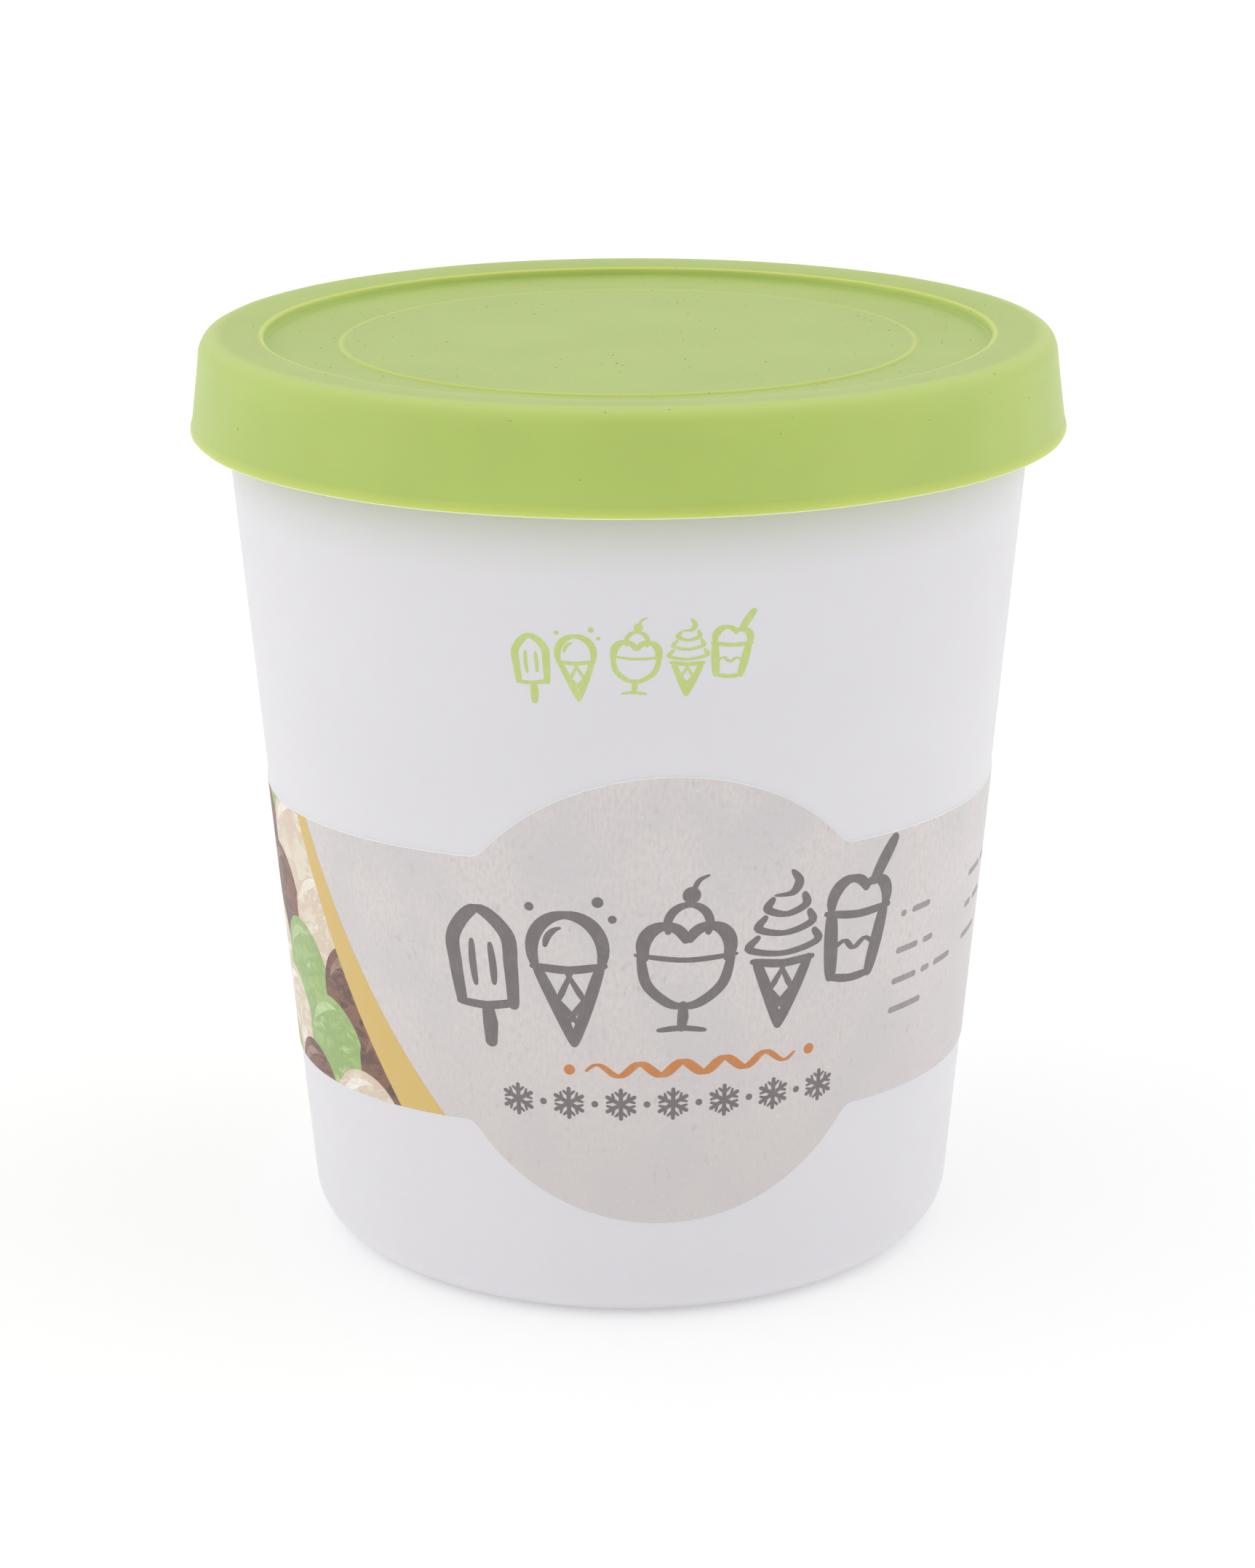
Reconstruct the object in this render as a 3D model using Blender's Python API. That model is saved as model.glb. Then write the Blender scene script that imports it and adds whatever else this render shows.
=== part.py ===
# A one-litre ice cream tub, shut. A round tub tapers down to its base, a soft lid with a
# sunken top is pushed over its rim, and a paper label wraps round its middle, widened at
# the front to a round panel. Metres, +Z up, origin at the centre of the base, front at -Y.

import math

import bmesh
import bpy

# Tub
FOOT_R = 0.0475            # where the line of the wall meets the ground
WALL_TAPER = 0.08472       # metres of radius gained for each metre of height
FOOT_ROUND = 0.0062
STAND_IN_R = 0.0385        # the tub stands on a ring from here out to the rounding
BASE_RECESS = 0.0008
COLLAR_FOOT = 0.1212       # the rim's collar stands out from the wall above this height
COLLAR_R = 0.0598
COLLAR_SLOPE_H = 0.0008
RIM_ROUND = 0.0007
FIT_GAP = 0.0003           # left between pieces that touch

# Lid, with its heights measured from its own lower edge
LID_PLACE = 0.1201         # height of that edge above the ground
LID_H = 0.0140
LID_EDGE_R = 0.0630
BEAD_H = 0.0018            # the lower edge is a slightly thicker bead
BEAD_FLAT_H = 0.0007
BEAD_OUT = 0.0003
BEAD_ROUND = 0.0003
LID_SIDE_TOP_R = 0.0612    # where the line of the side meets the level of the crest
SHOULDER_ROUND = 0.0028
CREST_R = 0.0580
LIP_R = 0.0522             # inner edge of the raised border
LIP_DROP = 0.0005          # how far the border falls from its crest to that edge
LIP_ROUND = 0.00045
SUNK_EDGE_H = 0.0123       # the sunken middle along the border
SUNK_H = 0.0118            # and round its disc, to where it sags
SUNK_ROUND = 0.0005
LID_FLOOR_T = 0.0024       # the lid's thickness there
DISC_R = 0.0414            # low disc raised in the sunken middle
DISC_H = 0.00026
DISC_ROUND = 0.0002
DISC_SLOPE = 0.0003

# Label: a band with a round panel at the front
BAND_LOW = 0.0308
BAND_HIGH = 0.0707
BAND_LOW_SAG = 0.0027      # how far its lower edge has sunk at the tub's two sides
BAND_HIGH_SAG = 0.0016     # how far its upper edge has
BAND_LEAN = 0.0006         # how far its right side sits above its middle
PANEL_R = 0.0336
PANEL_Z = 0.0494
PANEL_AZIMUTH = math.radians(5.5)
PANEL_FILLET = 0.0018
LABEL_GAP = 0.00025
LABEL_T = 0.0003

# Fineness
SIDES = 96
LABEL_COLUMNS = 180
SMALL_ROUND = 0.001        # a rounding up to this takes few steps
SMALL_STEPS = 2
LARGE_STEPS = 5
BORDER_STEPS = 3
MERGE = 1e-6
SHARP_ANGLE = math.radians(35.0)


def wall_radius(height):
    """Radius of the tub's tapered wall at a height above the ground."""
    return FOOT_R + WALL_TAPER * height


def side_radius(height):
    """Radius of the lid's side at a height above the lid's lower edge."""
    bottom = LID_EDGE_R - BEAD_OUT
    return bottom + (LID_SIDE_TOP_R - bottom) * (height - BEAD_H) / (LID_H - BEAD_H)


def rounded(corners):
    """An outline through (radius, height, rounding) corners, each rounding as an arc."""
    outline = []
    for i, (x, z, rounding) in enumerate(corners):
        if rounding == 0.0:
            outline.append((x, z))
            continue
        back = math.atan2(corners[i - 1][1] - z, corners[i - 1][0] - x)
        ahead = math.atan2(corners[i + 1][1] - z, corners[i + 1][0] - x)
        opening = (ahead - back + math.pi) % math.tau - math.pi
        middle = back + opening / 2
        reach = rounding / math.sin(abs(opening) / 2)
        cx, cz = x + reach * math.cos(middle), z + reach * math.sin(middle)
        sweep = math.copysign(math.pi - abs(opening), opening)
        steps = SMALL_STEPS if rounding <= SMALL_ROUND else LARGE_STEPS
        for step in range(steps + 1):
            angle = middle + math.pi + sweep * (0.5 - step / steps)
            outline.append((cx + rounding * math.cos(angle), cz + rounding * math.sin(angle)))
    return outline


def new_material(name, colour, roughness, subsurface=0.0):
    material = bpy.data.materials.new(name)
    material.use_nodes = True
    material.diffuse_color = (*colour, 1.0)
    shader = material.node_tree.nodes["Principled BSDF"]
    shader.inputs["Base Color"].default_value = (*colour, 1.0)
    shader.inputs["Roughness"].default_value = roughness
    shader.inputs["Metallic"].default_value = 0.0
    shader.inputs["Subsurface Weight"].default_value = subsurface
    return material


def new_object(name, bm, material, parent, height=0.0):
    """An object of a finished mesh, hung on its parent at a height."""
    bmesh.ops.recalc_face_normals(bm, faces=bm.faces)
    mesh = bpy.data.meshes.new(name)
    bm.to_mesh(mesh)
    bm.free()
    mesh.materials.append(material)
    mesh.shade_smooth()
    mesh.set_sharp_from_angle(angle=SHARP_ANGLE)
    piece = bpy.data.objects.new(name, mesh)
    piece.parent = parent
    piece.location.z = height
    bpy.context.collection.objects.link(piece)
    return piece


def turned(outline):
    """The closed mesh that an outline sweeps on one turn round the Z axis."""
    bm = bmesh.new()
    verts = [bm.verts.new((x, 0.0, z)) for x, z in outline]
    edges = [bm.edges.new(pair) for pair in zip(verts, verts[1:])]
    bmesh.ops.spin(bm, geom=verts + edges, cent=(0, 0, 0), axis=(0, 0, 1),
                   angle=math.tau, steps=SIDES)
    bmesh.ops.remove_doubles(bm, verts=bm.verts, dist=MERGE)
    return bm


def tub_mesh():
    """The tub with all that it holds, as one solid up to just under the lid."""
    top = LID_PLACE + SUNK_H - LID_FLOOR_T - FIT_GAP
    return turned(rounded([
        (0.0, top, 0.0),
        (COLLAR_R, top, RIM_ROUND),
        (COLLAR_R, COLLAR_FOOT + COLLAR_SLOPE_H, 0.0),
        (wall_radius(COLLAR_FOOT), COLLAR_FOOT, 0.0),
        (wall_radius(0.0), 0.0, FOOT_ROUND),
        (STAND_IN_R, 0.0, 0.0),
        (STAND_IN_R - BASE_RECESS, BASE_RECESS, 0.0),
        (0.0, BASE_RECESS, 0.0),
    ]))


def lid_mesh():
    """A cap: disc, sunken middle, domed border, tapered side, beaded edge and a skirt."""
    disc_top = SUNK_H + DISC_H
    lip_z = LID_H - LIP_DROP
    under = SUNK_H - LID_FLOOR_T
    skirt_r = COLLAR_R + FIT_GAP
    border = [(LIP_R + (CREST_R - LIP_R) * k / BORDER_STEPS,
               LID_H - LIP_DROP * (1 - k / BORDER_STEPS) ** 2, 0.0)
              for k in range(1, BORDER_STEPS + 1)]
    return turned(rounded([
        (0.0, disc_top, 0.0),
        (DISC_R, disc_top, DISC_ROUND),
        (DISC_R + DISC_SLOPE, SUNK_H, DISC_ROUND),
        (LIP_R - FIT_GAP, SUNK_EDGE_H, SUNK_ROUND),
        (LIP_R, lip_z, LIP_ROUND),
        *border,
        (side_radius(LID_H), LID_H, SHOULDER_ROUND),
        (side_radius(BEAD_H), BEAD_H, 0.0),
        (LID_EDGE_R, BEAD_FLAT_H, BEAD_ROUND),
        (LID_EDGE_R, 0.0, BEAD_ROUND),
        (skirt_r, 0.0, 0.0),
        (skirt_r, under, 0.0),
        (0.0, under, 0.0),
    ]))


def higher(a, b):
    """The higher of two heights, with the corner where they cross rounded out."""
    near = max(PANEL_FILLET - abs(a - b), 0.0)
    return max(a, b) + near * near / (4 * PANEL_FILLET)


def panel_height(azimuth, side):
    """Height of the round panel's upper (side 1) or lower (side -1) edge."""
    turn = (azimuth - PANEL_AZIMUTH + math.pi) % math.tau - math.pi
    height = PANEL_Z
    for _ in range(8):
        across = wall_radius(height) * turn
        height = PANEL_Z + side * math.sqrt(max(PANEL_R ** 2 - across ** 2, 0.0))
    return height


def label_edges(azimuth):
    """Heights of the label's lower and upper edge at an azimuth, 0 at the front."""
    lean, side = BAND_LEAN * math.sin(azimuth), math.sin(azimuth) ** 2
    band_low = BAND_LOW + lean - BAND_LOW_SAG * side
    band_high = BAND_HIGH + lean - BAND_HIGH_SAG * side
    return (-higher(-band_low, -panel_height(azimuth, -1)),
            higher(band_high, panel_height(azimuth, 1)))


def label_mesh():
    """A thin skin just off the tapered wall, in one column for each small turn."""
    bm = bmesh.new()
    columns = []
    for i in range(LABEL_COLUMNS):
        azimuth = math.tau * i / LABEL_COLUMNS
        low, high = label_edges(azimuth)
        column = []
        for height, out in ((low, 0.0), (low, LABEL_T), (high, LABEL_T), (high, 0.0)):
            r = wall_radius(height) + LABEL_GAP + out
            column.append(bm.verts.new((r * math.sin(azimuth), -r * math.cos(azimuth), height)))
        columns.append(column)
    for here, there in zip(columns, columns[1:] + columns[:1]):
        for k in range(4):
            bm.faces.new((here[k], there[k], there[(k + 1) % 4], here[(k + 1) % 4]))
    return bm


for old in list(bpy.data.objects):
    bpy.data.objects.remove(old, do_unlink=True)

root = bpy.data.objects.new("ice_cream_tub", None)
bpy.context.collection.objects.link(root)

white_plastic = new_material("moulded_polypropylene", (0.79, 0.78, 0.80), 0.38, 0.1)
green_silicone = new_material("moulded_silicone", (0.38, 0.55, 0.11), 0.5)
grey_paper = new_material("coated_paper", (0.63, 0.61, 0.60), 0.45)

new_object("tub", tub_mesh(), white_plastic, root)
new_object("lid", lid_mesh(), green_silicone, root, LID_PLACE)
new_object("label", label_mesh(), grey_paper, root)
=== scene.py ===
import math

import bmesh
import bpy
from mathutils import Matrix, Vector
from mathutils.geometry import delaunay_2d_cdt


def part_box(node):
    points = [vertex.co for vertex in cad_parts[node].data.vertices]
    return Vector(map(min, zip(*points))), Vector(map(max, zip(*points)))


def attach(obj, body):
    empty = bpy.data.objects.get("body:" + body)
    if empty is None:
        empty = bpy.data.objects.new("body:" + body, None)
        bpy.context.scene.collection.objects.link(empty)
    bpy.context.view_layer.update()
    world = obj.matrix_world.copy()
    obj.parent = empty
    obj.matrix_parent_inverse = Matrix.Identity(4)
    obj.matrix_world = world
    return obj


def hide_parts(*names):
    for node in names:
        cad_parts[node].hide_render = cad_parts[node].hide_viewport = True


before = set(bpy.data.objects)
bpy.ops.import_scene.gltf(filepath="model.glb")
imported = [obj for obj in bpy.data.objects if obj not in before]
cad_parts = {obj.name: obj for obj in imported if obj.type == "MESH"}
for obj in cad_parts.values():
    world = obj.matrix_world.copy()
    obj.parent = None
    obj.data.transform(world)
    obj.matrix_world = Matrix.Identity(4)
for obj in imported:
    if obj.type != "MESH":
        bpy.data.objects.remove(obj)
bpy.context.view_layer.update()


# Tub
# A round, tapered pot of white polypropylene, injection moulded in one piece. Its straight wall
# runs from a rounded foot up into a collar that the lid hides, and it stands on a narrow ring.
# The mould leaves a satin skin, faintly uneven, and a small gate scar in the middle of the base.
MM = 0.001
FOOT_R = 47.5 * MM
WALL_TAPER = 0.08472
FOOT_ROUND = 6.2 * MM
STAND_IN_R = 38.5 * MM
BASE_RECESS = 0.8 * MM
GATE_R = 1.6 * MM
GATE_H = 0.35 * MM
COLLAR_FOOT = 121.2 * MM
COLLAR_SLOPE_H = 0.8 * MM
RIM_ROUND = 0.7 * MM
TUB_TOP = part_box("tub")[1].z
COLLAR_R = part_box("tub")[1].x
SIDES = 288


def wall_radius(height):
    """Radius of the tub's tapered wall at a height above the ground."""
    return FOOT_R + WALL_TAPER * height


def rounded(corners, step_angle=math.radians(8.0)):
    """An outline through (radius, height, rounding) corners, each rounding as an arc."""
    outline = []
    for i, (x, z, rounding) in enumerate(corners):
        if rounding == 0.0:
            outline.append((x, z))
            continue
        back = math.atan2(corners[i - 1][1] - z, corners[i - 1][0] - x)
        ahead = math.atan2(corners[i + 1][1] - z, corners[i + 1][0] - x)
        opening = (ahead - back + math.pi) % math.tau - math.pi
        middle = back + opening / 2
        reach = rounding / math.sin(abs(opening) / 2)
        cx, cz = x + reach * math.cos(middle), z + reach * math.sin(middle)
        sweep = math.copysign(math.pi - abs(opening), opening)
        steps = max(3, math.ceil(abs(sweep) / step_angle))
        for step in range(steps + 1):
            angle = middle + math.pi + sweep * (0.5 - step / steps)
            outline.append((cx + rounding * math.cos(angle), cz + rounding * math.sin(angle)))
    return outline


def supported(outline, run=4.0 * MM, hold=0.25 * MM):
    """The same outline with points along its straight runs, so that light turns only at the arcs."""
    dense = [outline[0]]
    for (x0, z0), (x1, z1) in zip(outline, outline[1:]):
        length = math.hypot(x1 - x0, z1 - z0)
        stops = []
        if length > 4 * hold:
            inner = length - 2 * hold
            pieces = max(1, math.ceil(inner / run))
            stops = [hold + inner * k / pieces for k in range(pieces + 1)]
        dense += [(x0 + (x1 - x0) * s / length, z0 + (z1 - z0) * s / length) for s in stops]
        dense.append((x1, z1))
    return dense


def add_node(tree, kind, inputs=None, **settings):
    """Add a node. An input, by its name or number, takes a value or another node's socket."""
    node = tree.nodes.new(kind)
    for name, value in settings.items():
        setattr(node, name, value)
    for key, value in (inputs or {}).items():
        if isinstance(value, bpy.types.NodeSocket):
            tree.links.new(value, node.inputs[key])
        else:
            node.inputs[key].default_value = value
    return node


def worked(tree, operation, *terms):
    """A number worked out of others."""
    return add_node(tree, "ShaderNodeMath", dict(enumerate(terms)), operation=operation).outputs[0]


def between(tree, value, low, high, out_low=0.0, out_high=1.0):
    """A value's place between two others, held at their ends."""
    return add_node(tree, "ShaderNodeMapRange",
                    {"Value": value, 1: low, 2: high, 3: out_low, 4: out_high}).outputs[0]


def noise(tree, place, run, detail=2.0):
    """Noise whose swells are about a run apart."""
    return add_node(tree, "ShaderNodeTexNoise",
                    {"Vector": place, "Scale": 1 / run, "Detail": detail}).outputs[0]


def new_tree(name, sockets):
    """A Geometry Nodes tree with a Piece in and out and the named inputs in between."""
    tree = bpy.data.node_groups.new(name, "GeometryNodeTree")
    tree.interface.new_socket("Piece", in_out="OUTPUT", socket_type="NodeSocketGeometry")
    tree.interface.new_socket("Piece", in_out="INPUT", socket_type="NodeSocketGeometry")
    for label, kind in sockets:
        tree.interface.new_socket(label, in_out="INPUT", socket_type="NodeSocket" + kind)
    return tree, add_node(tree, "NodeGroupInput").outputs


def end_tree(tree, geometry, material):
    """Close a tree with realized instances and the piece's material."""
    real = add_node(tree, "GeometryNodeRealizeInstances", {"Geometry": geometry})
    dressed = add_node(tree, "GeometryNodeSetMaterial",
                       {"Geometry": real.outputs["Geometry"], "Material": material})
    add_node(tree, "NodeGroupOutput", {"Piece": dressed.outputs["Geometry"]})


def run_tree(piece, tree, **values):
    """Put a tree on a piece, with its inputs set by their identifiers."""
    modifier = piece.modifiers.new(tree.name, "NODES")
    modifier.node_group = tree
    for item in tree.interface.items_tree:
        if item.in_out == "INPUT" and item.name.lower().replace(" ", "_") in values:
            modifier[item.identifier] = values[item.name.lower().replace(" ", "_")]
    return piece


def settle(piece, sharp_angle=math.radians(40.0)):
    """Turn what the modifiers make into the piece's own plain mesh, smooth but for its corners."""
    seen = piece.evaluated_get(bpy.context.evaluated_depsgraph_get())
    mesh = bpy.data.meshes.new_from_object(seen)
    piece.modifiers.clear()
    piece.data = mesh
    mesh.name = piece.name
    mesh.shade_smooth()
    mesh.set_sharp_from_angle(angle=sharp_angle)
    return piece


def new_piece(name, mesh):
    piece = bpy.data.objects.new(name, mesh)
    bpy.context.scene.collection.objects.link(piece)
    return piece


# The outline is swept once round a core circle, and the poles are welded. A soft piece is drawn in
# here and there by up to its slack.
CORE_R = 10.0 * MM
SLACK_RUN = 18.0 * MM
turning, given = new_tree("turned_round_its_axis", [("Sides", "Int"), ("Slack", "Float"),
                                                    ("Finish", "Material")])
outline_curve = add_node(turning, "GeometryNodeMeshToCurve", {"Mesh": given["Piece"]})
outline_moved = add_node(turning, "GeometryNodeTransform",
                         {"Geometry": outline_curve.outputs["Curve"], "Translation": (-CORE_R, 0, 0)})
core = add_node(turning, "GeometryNodeCurvePrimitiveCircle",
                {"Resolution": given["Sides"], "Radius": CORE_R})
swept = add_node(turning, "GeometryNodeCurveToMesh",
                 {"Curve": core.outputs["Curve"], "Profile Curve": outline_moved.outputs["Geometry"]})
welded = add_node(turning, "GeometryNodeMergeByDistance",
                  {"Geometry": swept.outputs["Mesh"], "Distance": 1e-6})
skin_place = add_node(turning, "GeometryNodeInputPosition").outputs[0]
sag = between(turning, noise(turning, skin_place, SLACK_RUN, 1.0), 0.3, 0.7)
pull = worked(turning, "MULTIPLY", sag, given["Slack"])
outward = add_node(turning, "ShaderNodeVectorMath", {0: skin_place, 1: (1.0, 1.0, 0.0)},
                   operation="MULTIPLY")
outward = add_node(turning, "ShaderNodeVectorMath", {0: outward.outputs[0]}, operation="NORMALIZE")
drawn_in = add_node(turning, "ShaderNodeVectorMath",
                    {0: outward.outputs[0], "Scale": worked(turning, "SUBTRACT", 0.0, pull)},
                    operation="SCALE")
eased = add_node(turning, "GeometryNodeSetPosition",
                 {"Geometry": welded.outputs["Geometry"], "Offset": drawn_in.outputs[0]})
end_tree(turning, eased.outputs["Geometry"], given["Finish"])


def turned(name, outline, finish, slack=0.0):
    """A piece that an outline makes on one turn round the upright axis."""
    mesh = bpy.data.meshes.new(name)
    edges = [(i, i + 1) for i in range(len(outline) - 1)]
    mesh.from_pydata([(x, -z, 0.0) for x, z in outline], edges, [])
    piece = run_tree(new_piece(name, mesh), turning, sides=SIDES, slack=slack, finish=finish)
    settle(piece)
    body = bmesh.new()
    body.from_mesh(piece.data)
    bmesh.ops.recalc_face_normals(body, faces=body.faces)
    body.to_mesh(piece.data)
    body.free()
    return piece


def srgb(code):
    """A colour written as #RRGGBB, in the linear values that a shader takes."""
    parts = [int(code[i:i + 2], 16) / 255 for i in (1, 3, 5)]
    line = [c / 12.92 if c <= 0.04045 else ((c + 0.055) / 1.055) ** 2.4 for c in parts]
    return (*line, 1.0)


def new_finish(name, roughness, ior=1.45, **extra):
    """A material with a plain shader, whose even values are set on its own sockets."""
    material = bpy.data.materials.new(name)
    material.use_nodes = True
    tree = material.node_tree
    shader = tree.nodes["Principled BSDF"]
    shader.inputs["Roughness"].default_value = roughness
    shader.inputs["IOR"].default_value = ior
    for label, value in extra.items():
        shader.inputs[label.replace("_", " ").title()].default_value = value
    return material, tree, shader.inputs


def blended(tree, factor, first, second):
    """A colour between two, each a #RRGGBB code or another blend."""
    ends = [srgb(end) if isinstance(end, str) else end for end in (first, second)]
    return add_node(tree, "ShaderNodeMix", {0: factor, 6: ends[0], 7: ends[1]},
                    data_type="RGBA").outputs[2]


def bumped(tree, height, strength, depth, over=None):
    """A skin that a height raises by up to a depth, on its own or over another such skin."""
    skin = add_node(tree, "ShaderNodeBump", {"Height": height, "Strength": strength, "Distance": depth})
    if over:
        tree.links.new(over, skin.inputs["Normal"])
    return skin.outputs[0]


# Satin moulded polypropylene: a cool white with a breath of lilac. Close under the lid it turns to a
# greenish grey, a painted shade of the lid with a painted green bounce from it. Slow clouds in the
# colour and a fine orange peel in the skin keep it from looking like paint.
PP_WHITE = "#E5E3E7"
PP_CLOUD = "#E1DFE3"
# painted shade and green bounce close under the lid
PP_SHADED = "#CED1C5"
SHADE_FROM = 110.0 * MM
SHADE_TO = 119.0 * MM
SHADE_EASE = 1.6
polypropylene, tree, into = new_finish("polypropylene_satin_moulded", 0.36, 1.49,
                                       subsurface_weight=0.12, subsurface_scale=1.5 * MM)
place = add_node(tree, "ShaderNodeTexCoord").outputs["Object"]
white = blended(tree, noise(tree, place, 22 * MM), PP_WHITE, PP_CLOUD)
height = add_node(tree, "ShaderNodeSeparateXYZ", {0: place}).outputs["Z"]
# painted shade: the wall greys and greens over the last millimetres under the lid's edge
painted_lid_shade = worked(tree, "POWER", between(tree, height, SHADE_FROM, SHADE_TO), SHADE_EASE)
peel = bumped(tree, noise(tree, place, 0.7 * MM, 3.0), 0.12, 0.02 * MM)
sunk = bumped(tree, noise(tree, place, 14 * MM, 1.0), 0.2, 0.1 * MM, peel)
satin = between(tree, noise(tree, place, 6 * MM, 4.0), 0.3, 0.7, 0.33, 0.42)
tree.links.new(blended(tree, painted_lid_shade, white, PP_SHADED), into["Base Color"])
tree.links.new(satin, into["Roughness"])
tree.links.new(sunk, into["Normal"])

tub = turned("tub_wall", supported(rounded([
    (0.0, TUB_TOP, 0.0),
    (COLLAR_R, TUB_TOP, RIM_ROUND),
    (COLLAR_R, COLLAR_FOOT + COLLAR_SLOPE_H, 0.2 * MM),
    (wall_radius(COLLAR_FOOT), COLLAR_FOOT, 0.4 * MM),
    (wall_radius(0.0), 0.0, FOOT_ROUND),
    (STAND_IN_R, 0.0, 0.3 * MM),
    (STAND_IN_R - BASE_RECESS, BASE_RECESS, 0.3 * MM),
    (GATE_R, BASE_RECESS, 0.15 * MM),
    (GATE_R, BASE_RECESS - GATE_H, 0.15 * MM),
    (0.0, BASE_RECESS - GATE_H, 0.0),
])), polypropylene)
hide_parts("tub")
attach(tub, "root")


# Lid
# A push-on cap of lime green silicone, moulded about 2.4 mm thick. A thicker bead runs round its
# lower edge, the border is domed, and the middle is sunken round a low raised disc. It is soft,
# so its arrises are round and a little uneven, and it holds on by its own stretch.
LID_LOW, LID_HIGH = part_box("lid")
LID_PLACE = LID_LOW.z
LID_TOP = LID_HIGH.z
LID_EDGE_R = LID_HIGH.x
BEAD_H = 1.8 * MM
BEAD_FLAT_H = 0.7 * MM
BEAD_OUT = 0.3 * MM
BEAD_ROUND = 0.32 * MM
LID_SIDE_TOP_R = 61.2 * MM
SHOULDER_ROUND = 2.8 * MM
CREST_R = 58.0 * MM
LIP_R = 52.2 * MM
LIP_DROP = 0.5 * MM
LIP_ROUND = 0.45 * MM
SUNK_EDGE_Z = LID_PLACE + 12.3 * MM
SUNK_Z = LID_PLACE + 11.8 * MM
SUNK_ROUND = 0.5 * MM
LID_FLOOR_T = 2.4 * MM
FIT_GAP = 0.3 * MM
DISC_R = 41.4 * MM
DISC_H = 0.26 * MM
DISC_ROUND = 0.2 * MM
DISC_SLOPE = 0.3 * MM
BORDER_STEPS = 12
LID_SLACK = 0.2 * MM


def side_radius(height):
    """Radius of the lid's side at a height above the ground."""
    bottom = LID_EDGE_R - BEAD_OUT
    up = (height - LID_PLACE - BEAD_H) / (LID_TOP - LID_PLACE - BEAD_H)
    return bottom + (LID_SIDE_TOP_R - bottom) * up


# Matte moulded silicone: lime green, with dull clouds, a dusty skin and a bloom that whitens it at a
# slant. Along its thin rims, the bead, the lip and the disc's edge, a painted yellow glow stands in
# for light let through. A painted highlight on its shoulder and a painted cream glint on its lowest
# arris are matched to the photo.
LIME = "#B8CE69"
LIME_DULL = "#B4CA66"
# painted glow on the bead, the lip and the disc's edge
LIME_PAINTED_RIM_GLOW = "#DBE96E"
# painted highlight on the shoulder
LIME_PAINTED_SHOULDER_HIGHLIGHT = "#C6DC79"
# painted cream glint on the lowest arris
LIME_PAINTED_ARRIS_GLINT = "#EBEFCB"
PAINTED_HIGHLIGHT_SHOULDER_R = 59.7 * MM
PAINTED_GLINT_ARRIS_H = 0.3 * MM


def close_to(tree, source, centre, half, share):
    """A share that is full close to a radius or a height, and fades out at half a width off."""
    far = worked(tree, "ABSOLUTE", worked(tree, "SUBTRACT", source, centre))
    return between(tree, far, half, 0.2 * half, 0.0, share)


silicone, tree, into = new_finish("silicone_matte_moulded", 0.45, 1.46, subsurface_weight=0.3,
                                  subsurface_scale=2.5 * MM, sheen_weight=0.08)
place = add_node(tree, "ShaderNodeTexCoord").outputs["Object"]
clouds = between(tree, noise(tree, place, 16 * MM, 3.0), 0.35, 0.65)
up = add_node(tree, "ShaderNodeSeparateXYZ", {0: place}).outputs["Z"]
level = add_node(tree, "ShaderNodeVectorMath", {0: place, 1: (1, 1, 0)}, operation="MULTIPLY")
out = add_node(tree, "ShaderNodeVectorMath", {0: level.outputs[0]}, operation="LENGTH").outputs["Value"]
lime = blended(tree, clouds, LIME, LIME_DULL)
# painted highlight: a paler ring round the shoulder
lime = blended(tree, close_to(tree, out, PAINTED_HIGHLIGHT_SHOULDER_R, 1.9 * MM, 0.9), lime, LIME_PAINTED_SHOULDER_HIGHLIGHT)
# painted glow: a yellower colour along the bead, the lip and the disc's edge
thin = worked(tree, "MAXIMUM", close_to(tree, up, LID_PLACE, 1.8 * MM, 0.42),
              close_to(tree, out, LIP_R + 0.25 * MM, 0.5 * MM, 0.7))
thin = worked(tree, "MAXIMUM", thin, close_to(tree, out, DISC_R - 0.2 * MM, 0.7 * MM, 0.45))
lime = blended(tree, thin, lime, LIME_PAINTED_RIM_GLOW)
# painted glint: the lowest arris turns cream
low = between(tree, up, LID_PLACE + PAINTED_GLINT_ARRIS_H, LID_PLACE + PAINTED_GLINT_ARRIS_H / 3, 0.0, 0.85)
grit = bumped(tree, noise(tree, place, 0.45 * MM, 4.0), 0.25, 0.03 * MM)
soft = bumped(tree, noise(tree, place, 9 * MM), 0.2, 0.08 * MM, grit)
tree.links.new(blended(tree, low, lime, LIME_PAINTED_ARRIS_GLINT), into["Base Color"])
tree.links.new(soft, into["Normal"])

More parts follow.
